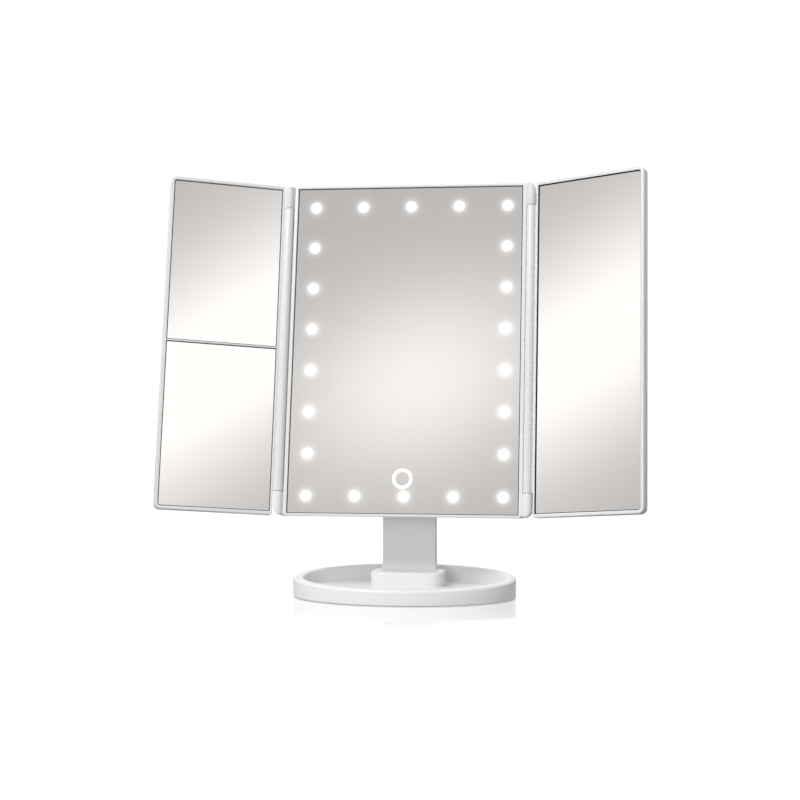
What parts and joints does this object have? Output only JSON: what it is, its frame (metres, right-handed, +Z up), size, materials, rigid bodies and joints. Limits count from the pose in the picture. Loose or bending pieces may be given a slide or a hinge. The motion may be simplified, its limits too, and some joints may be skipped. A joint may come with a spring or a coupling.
{
  "type": "lighted makeup mirror",
  "caption": "Upright makeup mirror with round light windows in its centre panel, a folding mirror wing at each side, a tilting neck and an oval tray base.",
  "frame": {"origin": "on the surface that the rubber feet stand on, under the middle of the oval base", "axes": "+Z up, -Y towards the person who looks into the mirrors, +X to that person's right"},
  "size_m": [0.3235, 0.103, 0.2852],
  "materials": {
    "white_gloss": "smooth white gloss",
    "white_satin": "fine-grained white satin",
    "mirror": "silvered",
    "light_window": "milky, lets light through",
    "circuit_board": "green solder mask",
    "black_plastic": "fine grain",
    "bright_steel": "nickel plated",
    "grey_steel": "plain sheet",
    "grey_rubber": "matt",
    "cell_jacket": "plain printed jacket",
    "red_wire": "smooth"
  },
  "bodies": {
    "stand": {"base_tray": "white_gloss", "bottom_cover": "white_satin", "ballast_plate": "grey_steel", "neck_front_shell": "white_gloss", "neck_rear_shell": "white_gloss", "neck_core_plate": "grey_steel", "anchor_bracket": "grey_steel", "neck_screw_left": "bright_steel", "neck_screw_right": "bright_steel", "rubber_foot_1": "grey_rubber", "rubber_foot_2": "grey_rubber", "rubber_foot_3": "grey_rubber", "rubber_foot_4": "grey_rubber", "cover_screw_1": "bright_steel", "cover_screw_2": "bright_steel", "cover_screw_3": "bright_steel", "cover_screw_4": "bright_steel"},
    "head": {"centre_frame": "white_gloss", "centre_mirror": "mirror", "touch_ring": "light_window", "light_diffuser": "light_window", "led_board": "circuit_board", "touch_sensor": "bright_steel", "control_board": "circuit_board", "board_connector": "black_plastic", "rear_housing": "white_gloss", "power_inlet": "bright_steel", "switch_body": "black_plastic", "contact_strip_left": "bright_steel", "contact_strip_right": "bright_steel", "battery_lead": "red_wire", "tilt_shaft": "bright_steel", "tilt_nut": "bright_steel", "friction_washer_left": "black_plastic", "friction_washer_right": "black_plastic", "battery_cell_1": "cell_jacket", "battery_cell_2": "cell_jacket", "battery_cell_3": "cell_jacket", "battery_cell_4": "cell_jacket", "housing_screw_left_low": "bright_steel", "housing_screw_left_high": "bright_steel", "hinge_pin_left_low": "bright_steel", "hinge_pin_left_high": "bright_steel", "housing_screw_right_low": "bright_steel", "housing_screw_right_high": "bright_steel", "hinge_pin_right_low": "bright_steel", "hinge_pin_right_high": "bright_steel"},
    "left_wing": {"left_wing_frame": "white_gloss", "left_wing_back_cover": "white_gloss", "left_upper_mirror": "mirror", "left_lower_mirror": "mirror"},
    "right_wing": {"right_wing_frame": "white_gloss", "right_wing_back_cover": "white_gloss", "right_mirror": "mirror"},
    "battery_door": {"battery_door": "white_gloss"},
    "switch_knob": {"switch_knob": "black_plastic"}
  },
  "joints": [
    {"name": "head_tilt", "type": "hinge", "parent": "stand", "child": "head", "pos_m": [0, 0.0271, 0.1424], "axis": [1, 0, 0], "range_deg": [-35, 12]},
    {"name": "left_wing_fold", "type": "hinge", "parent": "head", "child": "left_wing", "pos_m": [-0.0835, -0.01482, 0.05672], "axis": [0, 0.1908, 0.9816], "range_deg": [-21.7, 158.3]},
    {"name": "right_wing_fold", "type": "hinge", "parent": "head", "child": "right_wing", "pos_m": [0.0835, -0.01482, 0.05672], "axis": [0, -0.1908, -0.9816], "range_deg": [-23.7, 156.3]},
    {"name": "battery_door_slide", "type": "slide", "parent": "head", "child": "battery_door", "axis": [0, 0.1908, 0.9816], "range_m": [0, 0.052]},
    {"name": "power_switch_slide", "type": "slide", "parent": "head", "child": "switch_knob", "axis": [1, 0, 0], "range_m": [-0.004, 0]}
  ]
}
